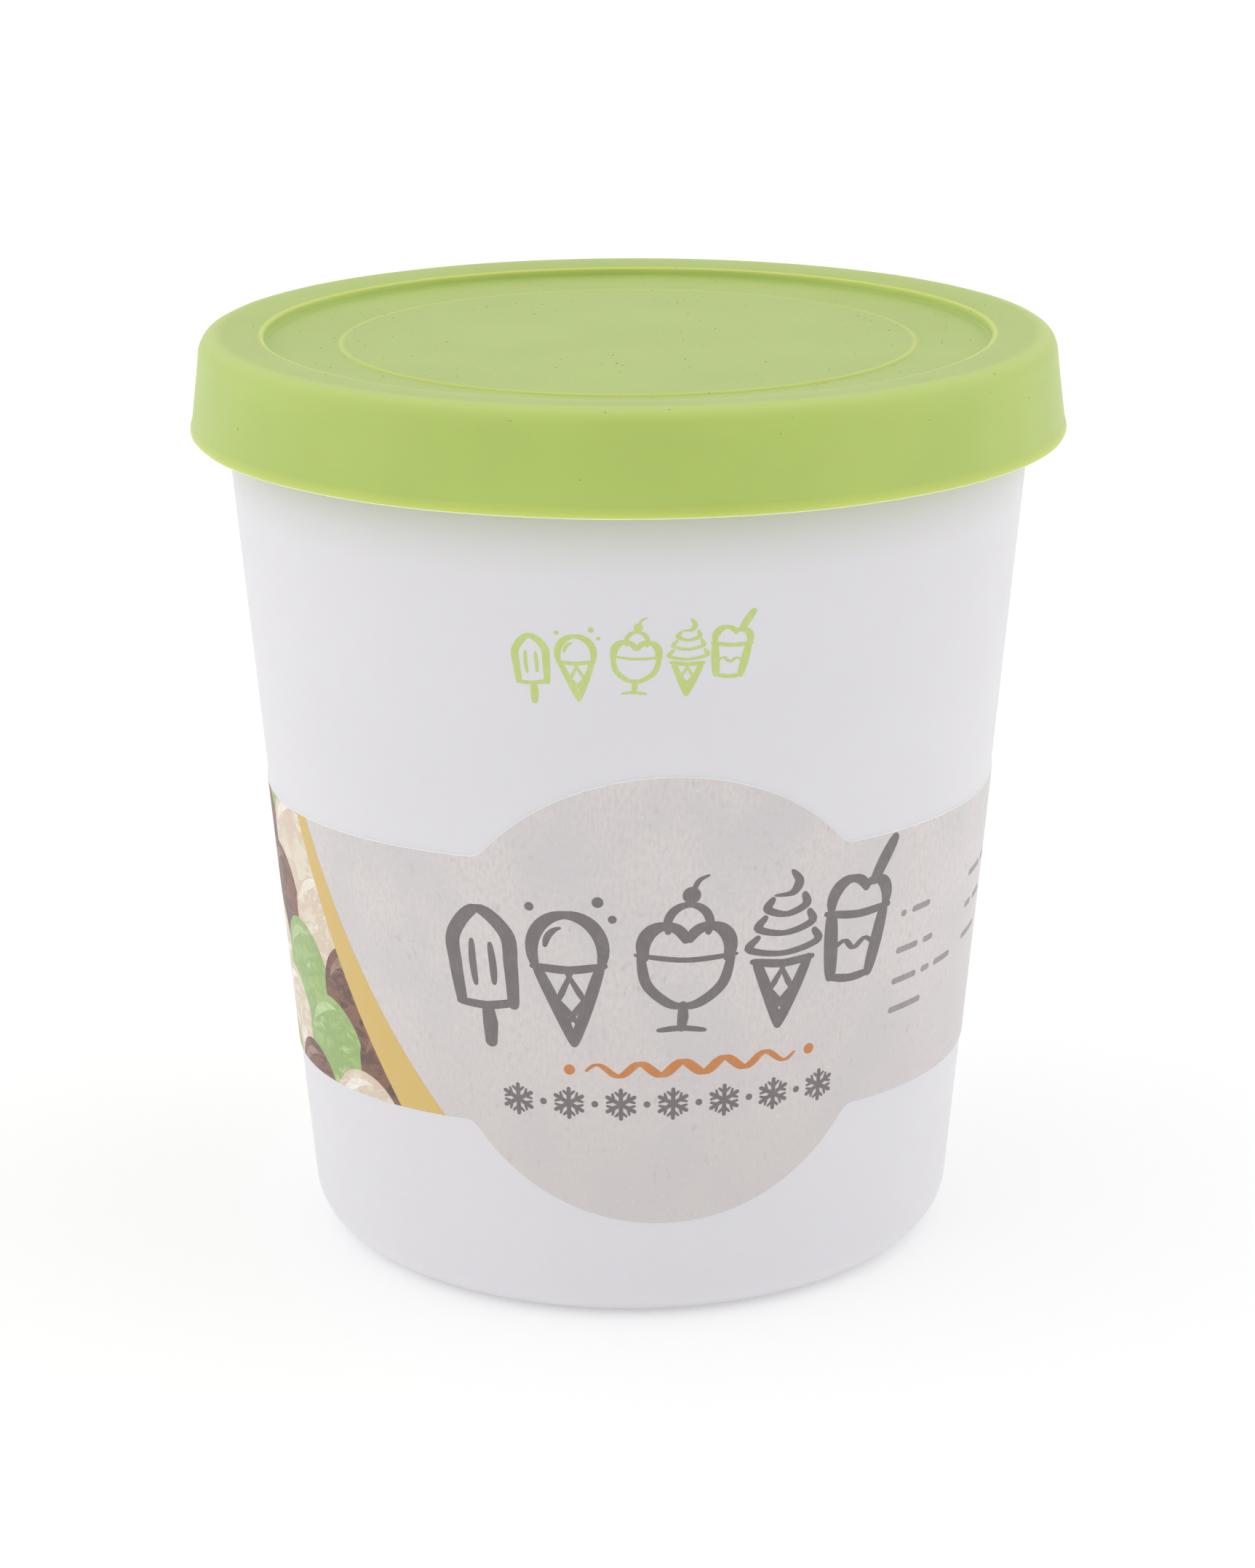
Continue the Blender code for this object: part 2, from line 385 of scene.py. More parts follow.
border = [(LIP_R + (CREST_R - LIP_R) * k / BORDER_STEPS,
           LID_TOP - LIP_DROP * (1 - k / BORDER_STEPS) ** 2, 0.0)
          for k in range(1, BORDER_STEPS + 1)]
lid = turned("lid_cap", supported(rounded([
    (0.0, SUNK_Z + DISC_H, 0.0),
    (DISC_R, SUNK_Z + DISC_H, DISC_ROUND),
    (DISC_R + DISC_SLOPE, SUNK_Z, DISC_ROUND),
    (LIP_R - FIT_GAP, SUNK_EDGE_Z, SUNK_ROUND),
    (LIP_R, LID_TOP - LIP_DROP, LIP_ROUND),
    *border,
    (side_radius(LID_TOP), LID_TOP, SHOULDER_ROUND),
    (side_radius(LID_PLACE + BEAD_H), LID_PLACE + BEAD_H, 0.5 * MM),
    (LID_EDGE_R, LID_PLACE + BEAD_FLAT_H, BEAD_ROUND),
    (LID_EDGE_R, LID_PLACE, BEAD_ROUND),
    (COLLAR_R + FIT_GAP, LID_PLACE, 0.3 * MM),
    (COLLAR_R + FIT_GAP, SUNK_Z - LID_FLOOR_T, 0.3 * MM),
    (0.0, SUNK_Z - LID_FLOOR_T, 0.0),
])), silicone, LID_SLACK)
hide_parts("lid")
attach(lid, "root")


# Specks
# The lid's skin is dusty: fine dark crumbs and short fibres of dirt and a few pale fluffs cling to
# it, far more on the flat top than on the side, and in loose crowds. They lie where a random rule
# with a fixed seed puts them, and never on the crest.
SPECK_R = 0.13 * MM
SPECK_KEEP_OFF = 0.12 * MM
SPECK_CROWD = 15.0 * MM
scatter, given = new_tree("scattered_on_the_skin", [("Number", "Float"), ("Size", "Float"),
                                                    ("Seed", "Int"), ("Finish", "Material")])
skin_place = add_node(scatter, "GeometryNodeInputPosition").outputs[0]
skin_height = add_node(scatter, "ShaderNodeSeparateXYZ", {0: skin_place}).outputs["Z"]
skin_facing = add_node(scatter, "ShaderNodeSeparateXYZ",
                       {0: add_node(scatter, "GeometryNodeInputNormal").outputs[0]}).outputs["Z"]
under_crest = add_node(scatter, "FunctionNodeCompare",
                       {0: skin_height, 1: LID_TOP - SPECK_KEEP_OFF}, operation="LESS_THAN")
upward = add_node(scatter, "FunctionNodeCompare", {0: skin_facing, 1: -0.05}, operation="GREATER_THAN")
over_bead = add_node(scatter, "FunctionNodeCompare",
                     {0: skin_height, 1: LID_PLACE + BEAD_H}, operation="GREATER_THAN")
open_skin = add_node(scatter, "FunctionNodeBooleanMath",
                     {0: under_crest.outputs[0], 1: upward.outputs[0]}, operation="AND")
outer_skin = add_node(scatter, "FunctionNodeBooleanMath",
                      {0: open_skin.outputs[0], 1: over_bead.outputs[0]}, operation="AND")
settled = between(scatter, skin_facing, 0.3, 0.9, 0.14, 1.0)
crowds = between(scatter, noise(scatter, skin_place, SPECK_CROWD, 1.0), 0.42, 0.62, 0.3, 1.7)
settled = worked(scatter, "MULTIPLY", settled, crowds)
density = worked(scatter, "MULTIPLY", settled, given["Number"])
points = add_node(scatter, "GeometryNodeDistributePointsOnFaces",
                  {"Mesh": given["Piece"], "Selection": outer_skin.outputs[0],
                   "Density": density, "Seed": given["Seed"]})
crumb = add_node(scatter, "GeometryNodeMeshIcoSphere", {"Radius": given["Size"], "Subdivisions": 1})
spread = add_node(scatter, "FunctionNodeRandomValue",
                  {0: (0.4, 0.25, 0.25), 1: (1.9, 0.8, 0.55), "Seed": given["Seed"]},
                  data_type="FLOAT_VECTOR")
turn = add_node(scatter, "FunctionNodeRandomValue", {2: 0.0, 3: math.tau}, data_type="FLOAT")
spin = add_node(scatter, "FunctionNodeAxisAngleToRotation", {"Angle": turn.outputs[1]})
lying = add_node(scatter, "FunctionNodeRotateRotation",
                 {"Rotation": points.outputs["Rotation"], "Rotate By": spin.outputs[0]},
                 rotation_space="LOCAL")
crumbs = add_node(scatter, "GeometryNodeInstanceOnPoints",
                  {"Points": points.outputs["Points"], "Instance": crumb.outputs["Mesh"],
                   "Rotation": lying.outputs[0], "Scale": spread.outputs[0]})
end_tree(scatter, crumbs.outputs[0], given["Finish"])

# Dry dirt is a patchy brown green, and fluff is a pale dull straw.
for name, number, size, seed, dark, light in (
        ("lid_dirt", 24000.0, SPECK_R, 7, "#6F7A48", "#A0AD69"),
        ("lid_fluff", 6000.0, 0.8 * SPECK_R, 19, "#C9D79B", "#DCE4BE")):
    finish, tree, into = new_finish(name + "_dry", 0.9)
    place = add_node(tree, "ShaderNodeTexCoord").outputs["Object"]
    tree.links.new(blended(tree, noise(tree, place, 0.8 * MM), dark, light), into["Base Color"])
    specks = run_tree(new_piece(name, lid.data.copy()), scatter,
                      number=number, size=size, seed=seed, finish=finish)
    settle(specks)
    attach(specks, "root")


# Label
# A strip of coated paper, glued once round the wall with its ends lapped at the back. At the front
# it widens to a round panel. The sheet is cut flat and then wrapped, so its columns run up the wall,
# and its bare white core shows along the upper edge, where the die has crushed it to a slope.
BAND_LOW = 30.8 * MM
BAND_HIGH = 70.7 * MM
BAND_LOW_SAG = 2.7 * MM
BAND_HIGH_SAG = 1.6 * MM
BAND_LEAN = 0.6 * MM
PANEL_R = 33.6 * MM
PANEL_Z = 49.4 * MM
PANEL_AZIMUTH = math.radians(5.5)
PANEL_FILLET = 1.8 * MM
LABEL_R = wall_radius(50.0 * MM)
LABEL_BACK = -0.01 * MM
LABEL_FACE = 0.20 * MM
LABEL_BURR = 0.14 * MM
LABEL_LAP = math.radians(4.0)
LAP_RISE = math.radians(6.0)
COLUMN = math.radians(0.5)


def higher(a, b):
    """The higher of two heights, with the corner where they cross rounded out."""
    near = max(PANEL_FILLET - abs(a - b), 0.0)
    return max(a, b) + near * near / (4 * PANEL_FILLET)


def panel_height(azimuth, side):
    """Height of the round panel's upper (side 1) or lower (side -1) edge."""
    turn = (azimuth - PANEL_AZIMUTH + math.pi) % math.tau - math.pi
    height = PANEL_Z
    for _ in range(8):
        across = wall_radius(height) * turn
        height = PANEL_Z + side * math.sqrt(max(PANEL_R ** 2 - across ** 2, 0.0))
    return height


def label_edges(azimuth):
    """Heights of the label's lower and upper edge at an azimuth, 0 at the front."""
    lean, side = BAND_LEAN * math.sin(azimuth), math.sin(azimuth) ** 2
    band_low = BAND_LOW + lean - BAND_LOW_SAG * side
    band_high = BAND_HIGH + lean - BAND_HIGH_SAG * side
    return (-higher(-band_low, -panel_height(azimuth, -1)),
            higher(band_high, panel_height(azimuth, 1)))


# A flat piece has its run along the wall in X, its height in Y and its thickness in Z. It is set out
# Count times along X, wrapped round the cone, and keeps its flat place in an attribute.
wrapping, given = new_tree("wrapped_round_the_wall", [
    ("Count", "Int"), ("Step", "Float"), ("Foot Radius", "Float"), ("Taper", "Float"),
    ("Label Radius", "Float"), ("Finish", "Material")])
step = add_node(wrapping, "ShaderNodeCombineXYZ", {"X": given["Step"]})
row = add_node(wrapping, "GeometryNodeMeshLine", {"Count": given["Count"], "Offset": step.outputs[0]})
copies = add_node(wrapping, "GeometryNodeInstanceOnPoints",
                  {"Points": row.outputs[0], "Instance": given["Piece"]})
sheet = add_node(wrapping, "GeometryNodeRealizeInstances", {"Geometry": copies.outputs[0]})
flat_place = add_node(wrapping, "GeometryNodeInputPosition").outputs[0]
noted = add_node(wrapping, "GeometryNodeStoreNamedAttribute",
                 {"Geometry": sheet.outputs[0], "Name": "flat", "Value": flat_place},
                 data_type="FLOAT_VECTOR", domain="POINT")
run = add_node(wrapping, "ShaderNodeSeparateXYZ", {0: flat_place})
azimuth = worked(wrapping, "DIVIDE", run.outputs["X"], given["Label Radius"])
foot = worked(wrapping, "ADD", run.outputs["Z"], given["Foot Radius"])
cone = worked(wrapping, "MULTIPLY_ADD", run.outputs["Y"], given["Taper"], foot)
x = worked(wrapping, "MULTIPLY", cone, worked(wrapping, "SINE", azimuth))
y = worked(wrapping, "MULTIPLY", cone, worked(wrapping, "COSINE", azimuth))
spot = add_node(wrapping, "ShaderNodeCombineXYZ",
                {"X": x, "Y": worked(wrapping, "SUBTRACT", 0.0, y), "Z": run.outputs["Y"]})
bent = add_node(wrapping, "GeometryNodeSetPosition",
                {"Geometry": noted.outputs[0], "Position": spot.outputs[0]})
end_tree(wrapping, bent.outputs[0], given["Finish"])


def wrapped(name, body, finish, slot, count=1, step=0.0):
    """A finished piece from a flat body, wrapped round the wall and riding on the tub."""
    bmesh.ops.recalc_face_normals(body, faces=body.faces)
    mesh = bpy.data.meshes.new(name)
    body.to_mesh(mesh)
    body.free()
    piece = run_tree(new_piece(name, mesh), wrapping, count=count, step=step, foot_radius=FOOT_R,
                     taper=WALL_TAPER, label_radius=LABEL_R, finish=finish)
    settle(piece)
    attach(piece, "root")
    return piece


# Coated paper, printed all over in a warm light grey like pressed pulp: short upright fibres, paler
# speckles, crowds of darker smudges, and faint pink and blue clouds. Its colour is darker towards its
# foot.
# Its coat is half matte, a little cockled where the glue pulls, and the cut core is white.
PAPER = "#DBD5D4"
PAPER_FIBRE = "#D4CECD"
PAPER_PINK = "#E0D7D7"
PAPER_BLUE = "#D4D0D2"
PAPER_LOW = "#D3CCCB"
PAPER_SPECKLE = "#E2DEDC"
PAPER_SMUDGE = "#C8C1BF"
PAPER_CORE = "#F8F7F5"
PAPER_LOW_FROM = 50.0 * MM
PAPER_LOW_TO = 24.0 * MM


def fibres(tree, wide, tall, detail, seed):
    """Noise drawn out up the wall, in metres of the flat sheet."""
    flat = add_node(tree, "ShaderNodeAttribute", attribute_name="flat").outputs["Vector"]
    shifted = add_node(tree, "ShaderNodeVectorMath", {0: flat, 1: (seed, seed, 0.0)}, operation="ADD")
    drawn_out = add_node(tree, "ShaderNodeVectorMath",
                         {0: shifted.outputs[0], 1: (1 / wide, 1 / tall, 0.0)}, operation="MULTIPLY")
    return noise(tree, drawn_out.outputs[0], 1.0, detail)


paper, tree, into = new_finish("paper_coated_printed", 0.42, 1.46)
clouds = fibres(tree, 13 * MM, 17 * MM, 2.0, 0.31)
ground = blended(tree, between(tree, clouds, 0.36, 0.5), PAPER_BLUE, PAPER)
ground = blended(tree, between(tree, clouds, 0.5, 0.64), ground, PAPER_PINK)
flat_axes = add_node(tree, "ShaderNodeSeparateXYZ",
                     {0: add_node(tree, "ShaderNodeAttribute", attribute_name="flat").outputs["Vector"]})
# darker towards the label's foot
lower = between(tree, flat_axes.outputs["Y"], PAPER_LOW_FROM, PAPER_LOW_TO, 0.0, 0.7)
ground = blended(tree, lower, ground, PAPER_LOW)
streak = fibres(tree, 0.5 * MM, 1.2 * MM, 4.0, 0.0)
ground = blended(tree, between(tree, streak, 0.40, 0.66), ground, PAPER_FIBRE)
speckle = fibres(tree, 0.42 * MM, 0.75 * MM, 1.0, 0.59)
ground = blended(tree, between(tree, speckle, 0.64, 0.74, 0.0, 0.6), ground, PAPER_SPECKLE)
crowd = between(tree, fibres(tree, 6 * MM, 8 * MM, 1.0, 0.23), 0.42, 0.62)
smudge = between(tree, fibres(tree, 0.9 * MM, 1.9 * MM, 4.0, 0.77), 0.58, 0.74)
ground = blended(tree, worked(tree, "MULTIPLY", crowd, smudge), ground, PAPER_SMUDGE)
core = between(tree, flat_axes.outputs["Z"], LABEL_FACE - 0.02 * MM, LABEL_FACE - 0.001 * MM)
ground = blended(tree, core, PAPER_CORE, ground)
pulp = bumped(tree, streak, 0.3, 0.02 * MM)
cockle = worked(tree, "MULTIPLY", fibres(tree, 1.6 * MM, 3.4 * MM, 2.0, 0.37), crowd)
tree.links.new(ground, into["Base Color"])
tree.links.new(bumped(tree, cockle, 0.3, 0.12 * MM, pulp), into["Normal"])

body = bmesh.new()
columns = []
column_count = round((math.tau + 2 * LABEL_LAP) / COLUMN)
for i in range(column_count + 1):
    azimuth = -math.pi - LABEL_LAP + (math.tau + 2 * LABEL_LAP) * i / column_count
    low, high = label_edges(azimuth)
    lap = min(max((azimuth - math.pi + LABEL_LAP + LAP_RISE) / LAP_RISE, 0.0), 1.0)
    lift = (LABEL_FACE - LABEL_BACK) * lap * lap * (3 - 2 * lap)
    columns.append([body.verts.new((LABEL_R * azimuth, height, depth + lift)) for height, depth in
                    ((low, LABEL_BACK), (low, LABEL_FACE),
                     (high - LABEL_BURR, LABEL_FACE), (high, LABEL_BACK))])
for here, there in zip(columns, columns[1:]):
    for k in range(4):
        body.faces.new((here[k], there[k], there[(k + 1) % 4], here[(k + 1) % 4]))
body.faces.new(columns[0])
body.faces.new(columns[-1])
label = wrapped("label_sheet", body, paper, "label")
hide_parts("label")


# Yellow stripe
# Two curved stripes, printed in a warm yellow, close the picture at the label's left on either side.
# The front one falls towards the middle of the label, and the one at the back mirrors it.
STRIPE_FOOT = 30.0
STRIPE_RISE = 38.5
PICTURE_MIDDLE = math.radians(-94.0)
INK_BACK = LABEL_FACE - 0.01 * MM
INK_FACE = LABEL_FACE + 0.012 * MM
TOP_INK_FACE = LABEL_FACE + 0.02 * MM
GRID = 1.2


def stripe_edge(height, near):
    """The stripe's edge nearer to the front, or its other one, in millimetres along the flat sheet."""
    t = (height - STRIPE_FOOT) / STRIPE_RISE
    arc = -27.5 - 33.6 * t + 6.4 * t * t if near else -35.7 - 26.8 * t + 4.8 * t * t
    return arc * LABEL_R / wall_radius(height * MM)


def mirrored(run):
    """A run along the sheet, mirrored about the middle of the picture."""
    return 2 * PICTURE_MIDDLE * LABEL_R / MM - run


def drawn(layers, within=()):
    """Flat fields in millimetres, laid over each other in order and trimmed to what they are within.

    Each layer is a name and its fields. What shows of each name comes back as flat triangles, cut
    at upright lines that let them follow the round wall.
    """
    points, faces, names = [], [], []
    for name, fields in [*layers, *[(None, [trim]) for trim in within]]:
        for field in fields:
            turn = sum(a[0] * b[1] - b[0] * a[1] for a, b in zip(field, field[1:] + field[:1]))
            ring = field if turn > 0 else field[::-1]
            faces.append(list(range(len(points), len(points) + len(ring))))
            points += [Vector(point) for point in ring]
            names.append(name)
    shown = [points[i] for face, name in zip(faces, names) if name for i in face]
    left, right = min(p.x for p in shown), max(p.x for p in shown)
    low, high = min(p.y for p in shown) - 1.0, max(p.y for p in shown) + 1.0
    cuts = []
    for k in range(1, math.ceil((right - left) / GRID)):
        cuts.append((len(points), len(points) + 1))
        points += [Vector((left + GRID * k, low)), Vector((left + GRID * k, high))]
    spots, _, corners, _, _, sources = delaunay_2d_cdt(points, cuts, faces, 0, 1e-5, True)
    needed = {k for k, name in enumerate(names) if name is None}
    bodies = {}
    for corner, source in zip(corners, sources):
        upper = [k for k in source if names[k]]
        if upper and needed <= set(source):
            bodies.setdefault(names[max(upper)], []).append(corner)
    return {name: (spots, kept) for name, kept in bodies.items()}


def inked(name, shapes, finish, slot="label", back=INK_BACK, face=INK_FACE, **repeat):
    """A thin closed layer of ink from flat triangles, wrapped round the wall."""
    spots, corners = shapes
    body = bmesh.new()
    verts = {i: body.verts.new((spots[i].x * MM, spots[i].y * MM, back))
             for i in sorted({i for corner in corners for i in corner})}
    fields = [body.faces.new([verts[i] for i in corner]) for corner in corners]
    raised = bmesh.ops.extrude_face_region(body, geom=fields, use_keep_orig=True)["geom"]
    bmesh.ops.translate(body, vec=(0.0, 0.0, face - back),
                        verts=[v for v in raised if isinstance(v, bmesh.types.BMVert)])
    return wrapped(name, body, finish, slot, **repeat)


def ink_finish(name, tone, worn, roughness=0.45, wear=0.5):
    """Ink on coated paper: the fibres beneath show through it as finer, paler streaks."""
    finish, tree, into = new_finish(name, roughness, 1.46)
    streak = fibres(tree, 0.4 * MM, 1.8 * MM, 3.0, 0.13)
    mottle = fibres(tree, 2.5 * MM, 2.5 * MM, 2.0, 0.47)
    thin = between(tree, worked(tree, "MULTIPLY", streak, mottle), 0.2, 0.42, 0.0, wear)
    tree.links.new(blended(tree, thin, tone, worn), into["Base Color"])
    return finish


label_trim = [(LABEL_R / MM * math.radians(a), label_edges(math.radians(a))[0] / MM)
              for a in range(-180, 181)]
label_trim += [(LABEL_R / MM * math.radians(a), (label_edges(math.radians(a))[1] - LABEL_BURR) / MM)
               for a in range(180, -181, -1)]
heights = [20.0 + 2.0 * k for k in range(30)]
front_stripe = ([(stripe_edge(h, True), h) for h in heights]
                + [(stripe_edge(h, False), h) for h in reversed(heights)])
back_stripe = [(mirrored(run), h) for run, h in front_stripe]
yellow = ink_finish("ink_warm_yellow", "#DBBC70", "#D9C089")
inked("stripe", drawn([("stripe", [front_stripe, back_stripe])], [label_trim])["stripe"], yellow,
      face=TOP_INK_FACE)


# Picture
# Between the two stripes the label carries a bled-off print of ice cream: staggered rows of round
# scoops with frilled skirts, in chocolate, vanilla and pistachio, each over its own soft shadow.
SCOOP_R = 8.2
SCOOP_STEP = 15.5
SCOOP_ROW_H = 9.5
SCOOP_ROWS = 6
FRILLS = 9
FLAVOURS = ("chocolate", "vanilla", "pistachio")


def scoop(x, y, radius, lift=0.0):
    """A scoop seen from the side: a round top, and a skirt that is frilled where the spoon let go."""
    ring = []
    for k in range(72):
        angle = math.tau * k / 72
        low = max(-math.sin(angle) - 0.25, 0.0) / 0.75
        frill = 0.07 * low * abs(math.sin(FRILLS * angle)) - 0.1 * low
        ring.append((x + radius * (1 + frill + 0.1 * low) * math.cos(angle),
                     y + lift + radius * (1 + frill) * math.sin(angle)))
    return ring


def crescent(x, y, radius, thick, start, end):
    """A lit crescent inside a scoop's edge, full in its middle and fine at both ends."""
    outer, inner = [], []
    for k in range(17):
        angle = math.radians(start + (end - start) * k / 16)
        bulge = thick * math.sin(math.pi * k / 16)
        outer.append((x + radius * math.cos(angle), y + radius * math.sin(angle)))
        inner.append((x + (radius - bulge) * math.cos(angle), y + (radius - bulge) * math.sin(angle)))
    return outer + inner[-2:0:-1]


field = ([((stripe_edge(h, True) + stripe_edge(h, False)) / 2, h) for h in heights]
         + [(mirrored((stripe_edge(h, True) + stripe_edge(h, False)) / 2), h)
            for h in reversed(heights)])
picture_left, picture_right = min(x for x, _ in field), max(x for x, _ in field)
layers = [("backdrop", [field])]
for row_number in range(SCOOP_ROWS):
    row_height = STRIPE_FOOT + SCOOP_ROW_H * (SCOOP_ROWS - 1.6 - row_number)
    shift = SCOOP_STEP / 2 * (row_number % 2)
    for k in range(math.ceil((picture_right - picture_left) / SCOOP_STEP) + 1):
        x = picture_left + shift + SCOOP_STEP * k
        flavour = FLAVOURS[(k + 2 * row_number) % len(FLAVOURS)]
        layers += [("shade", [scoop(x + 0.5, row_height, SCOOP_R, -0.9)]),
                   (flavour, [scoop(x, row_height, SCOOP_R)]),
                   (flavour + "_light", [crescent(x, row_height, 0.84 * SCOOP_R, 1.5, 70, 165)])]
picture = drawn(layers, [label_trim, field])


def swirled_finish(name, tones, wide, sharp=0.12):
    """A printed flavour: ribbons of a second and a third tone folded through the first."""
    finish, tree, into = new_finish(name, 0.45, 1.46)
    warp = fibres(tree, 5.0 * MM, 3.5 * MM, 2.0, 0.9)
    flat = add_node(tree, "ShaderNodeAttribute", attribute_name="flat").outputs["Vector"]
    bent = add_node(tree, "ShaderNodeVectorMath", {0: flat, 1: (1 / wide, 2 / wide, 0.0)},
                    operation="MULTIPLY")
    folded = add_node(tree, "ShaderNodeVectorMath",
                      {0: bent.outputs[0], 1: worked(tree, "MULTIPLY", warp, 3.0)}, operation="ADD")
    ribbon = noise(tree, folded.outputs[0], 1.0, 4.0)
    tone = blended(tree, between(tree, ribbon, 0.52 - sharp, 0.52), tones[0], tones[1])
    tone = blended(tree, between(tree, ribbon, 0.58, 0.58 + sharp), tone, tones[2])
    tree.links.new(tone, into["Base Color"])
    return finish


for name, tones, wide in (
        ("backdrop", ("#E6DAD2", "#DCCCC1", "#EFE8E2"), 16 * MM),
        ("shade", ("#9A8478", "#8B7367", "#AB988D"), 9 * MM),
        ("chocolate", ("#6B554C", "#8C6759", "#4E3B35"), 5 * MM),
        ("chocolate_light", ("#93766A", "#A98B7C", "#7E6257"), 4 * MM),
        ("vanilla", ("#E7DCC9", "#DCC9B4", "#F4EFE6"), 6 * MM),
        ("vanilla_light", ("#F6F1E9", "#EFE5D8", "#FBF9F5"), 4 * MM),
        ("pistachio", ("#A9C27F", "#9AB573", "#BFD29A"), 6 * MM),
        ("pistachio_light", ("#C4D8A2", "#B4CB90", "#D5E3BC"), 4 * MM)):
    if name in picture:
        inked("picture_" + name, picture[name], swirled_finish("ink_" + name, tones, wide))


# Row of motifs
# The front of the label shows five ice cream treats in a row, drawn with a loaded brush in
# charcoal ink: a lolly, a scoop in a cone, a sundae, a soft serve and a paper cup. The row climbs
# a little to the right and each treat leans its own way.
BRUSH = 2.3
FINE_BRUSH = 1.0


def dot(x, y, radius, sides=16):
    return [(x + radius * math.cos(math.tau * k / sides), y + radius * math.sin(math.tau * k / sides))
            for k in range(sides)]


def arc(x, y, wide, high, start, end):
    """Points along a piece of an ellipse, from a start to an end in degrees."""
    steps = max(4, math.ceil(abs(end - start) / 9))
    return [(x + wide * math.cos(math.radians(start + (end - start) * k / steps)),
             y + high * math.sin(math.radians(start + (end - start) * k / steps)))
            for k in range(steps + 1)]


def through(stops, steps=7):
    """A smooth curve through a few points."""
    padded = [stops[0], *stops, stops[-1]]
    curve = []
    for a, b, c, d in zip(padded, padded[1:], padded[2:], padded[3:]):
        for k in range(steps):
            t = k / steps
            curve.append(tuple(
                0.5 * (2 * b[n] + (c[n] - a[n]) * t + (2 * a[n] - 5 * b[n] + 4 * c[n] - d[n]) * t ** 2
                       + (3 * b[n] - a[n] - 3 * c[n] + d[n]) * t ** 3) for n in (0, 1)))
    return [*curve, stops[-1]]


def stroke(path, width=BRUSH, ends=0.6, flatness=0.5):
    """A stroke of a flat brush along a path, as small fields.

    It is broad on its way up or down and narrow across, full in its middle and finer at its ends.
    """
    sides, halves = [], []
    for i, (x, y) in enumerate(path):
        (xa, ya), (xb, yb) = path[max(i - 1, 0)], path[min(i + 1, len(path) - 1)]
        length = math.hypot(xb - xa, yb - ya)
        press = ends + (1 - ends) * math.sin(math.pi * i / (len(path) - 1)) ** 0.7
        half = width / 2 * press * (1 - flatness + flatness * abs(yb - ya) / length)
        across, up = (ya - yb) / length * half, (xb - xa) / length * half
        sides.append(((x + across, y + up), (x - across, y - up)))
        halves.append(half)
    fields = [[a[0], a[1], b[1], b[0]] for a, b in zip(sides, sides[1:])]
    return fields + [dot(*path[0], halves[0]), dot(*path[-1], halves[-1])]


def lolly():
    fields = stroke([(-0.1, -0.4), (0.1, 2.3), (0.0, 4.6)], 2.3, 0.8)
    fields += stroke(through([(-3.9, 5.6), (-4.2, 11.0), (-3.9, 15.6), (0.0, 19.4), (3.9, 15.9),
                              (4.1, 11.0), (3.9, 5.3)]), BRUSH, 0.7)
    fields += stroke(through([(-4.3, 5.4), (0.0, 5.0), (4.3, 5.6)]), BRUSH, 0.7)
    fields += stroke(through([(-1.4, 8.2), (-1.5, 11.5), (-1.3, 14.6)]), 1.1)
    return fields + stroke(through([(1.4, 8.4), (1.5, 11.0), (1.4, 14.2)]), 1.1)


def waffle(top, half):
    """A waffle cone that stands on its tip, with its crossed ribs."""
    fields = stroke(through([(-half, top), (-half / 2, top / 2 + 0.2), (0.0, 0.0)]), 1.8, 0.7)
    fields += stroke(through([(half, top), (half / 2, top / 2 - 0.2), (0.0, 0.0)]), 1.8, 0.7)
    fields += stroke(through([(-half - 0.6, top + 0.2), (0.0, top - 0.4), (half + 0.6, top + 0.1)]))
    for side in (-1, 1):
        fields += stroke([(side * half * 0.72, top * 0.72), (side * 0.2, top * 0.38),
                          (-side * half * 0.22, top * 0.22)], FINE_BRUSH)
        fields += stroke([(side * half * 0.1, top * 0.95), (-side * half * 0.28, top * 0.66),
                          (-side * half * 0.5, top * 0.5)], FINE_BRUSH)
    return fields


def scooped_cone():
    fields = waffle(11.4, 4.4) + stroke(arc(0.0, 13.8, 4.9, 5.4, 196, -18))
    fields += stroke(arc(-0.3, 14.2, 2.7, 3.1, 170, 100), 1.1)
    return fields + [dot(4.6, 21.0, 0.8), dot(6.4, 18.4, 0.6), dot(-4.7, 20.4, 0.65)]


def sundae():
    fields = stroke(through([(-6.2, 11.0), (-5.2, 7.0), (-2.4, 4.4), (0.0, 3.8), (2.5, 4.5),
                             (5.3, 7.2), (6.2, 11.2)]), 1.9, 0.6)
    fields += stroke(through([(-6.9, 11.3), (0.0, 10.7), (6.9, 11.5)]), 1.5)
    fields += stroke([(0.0, 3.9), (0.1, 2.2), (0.0, 0.6)], 1.6, 0.8)
    fields += stroke(through([(-3.2, 0.1), (0.0, 0.5), (3.3, 0.2)]), 1.6)
    fields += stroke(arc(-3.0, 12.4, 3.0, 3.3, 205, 25)) + stroke(arc(3.0, 12.5, 3.0, 3.3, 155, -25))
    fields += stroke(arc(0.0, 15.9, 2.9, 3.0, 200, -20), 1.5)
    return fields + [dot(0.1, 20.3, 1.25)] + stroke(through([(0.2, 20.6), (0.9, 22.4), (2.2, 23.2)]), 0.8)


def soft_serve():
    fields = waffle(9.6, 3.9)
    for height, half, rise in ((11.4, 5.0, 1.3), (14.4, 3.9, 1.2), (17.2, 2.8, 1.0)):
        fields += stroke(through([(half * 0.9, height + rise + 0.9), (half, height + rise * 0.4),
                                  (0.0, height - 0.7), (-half, height + 0.2),
                                  (-half * 0.8, height + rise + 0.6)]), 1.6)
    return fields + stroke(through([(-1.9, 19.4), (0.6, 19.6), (1.5, 21.2), (0.4, 22.8)]), 1.5, 0.4)


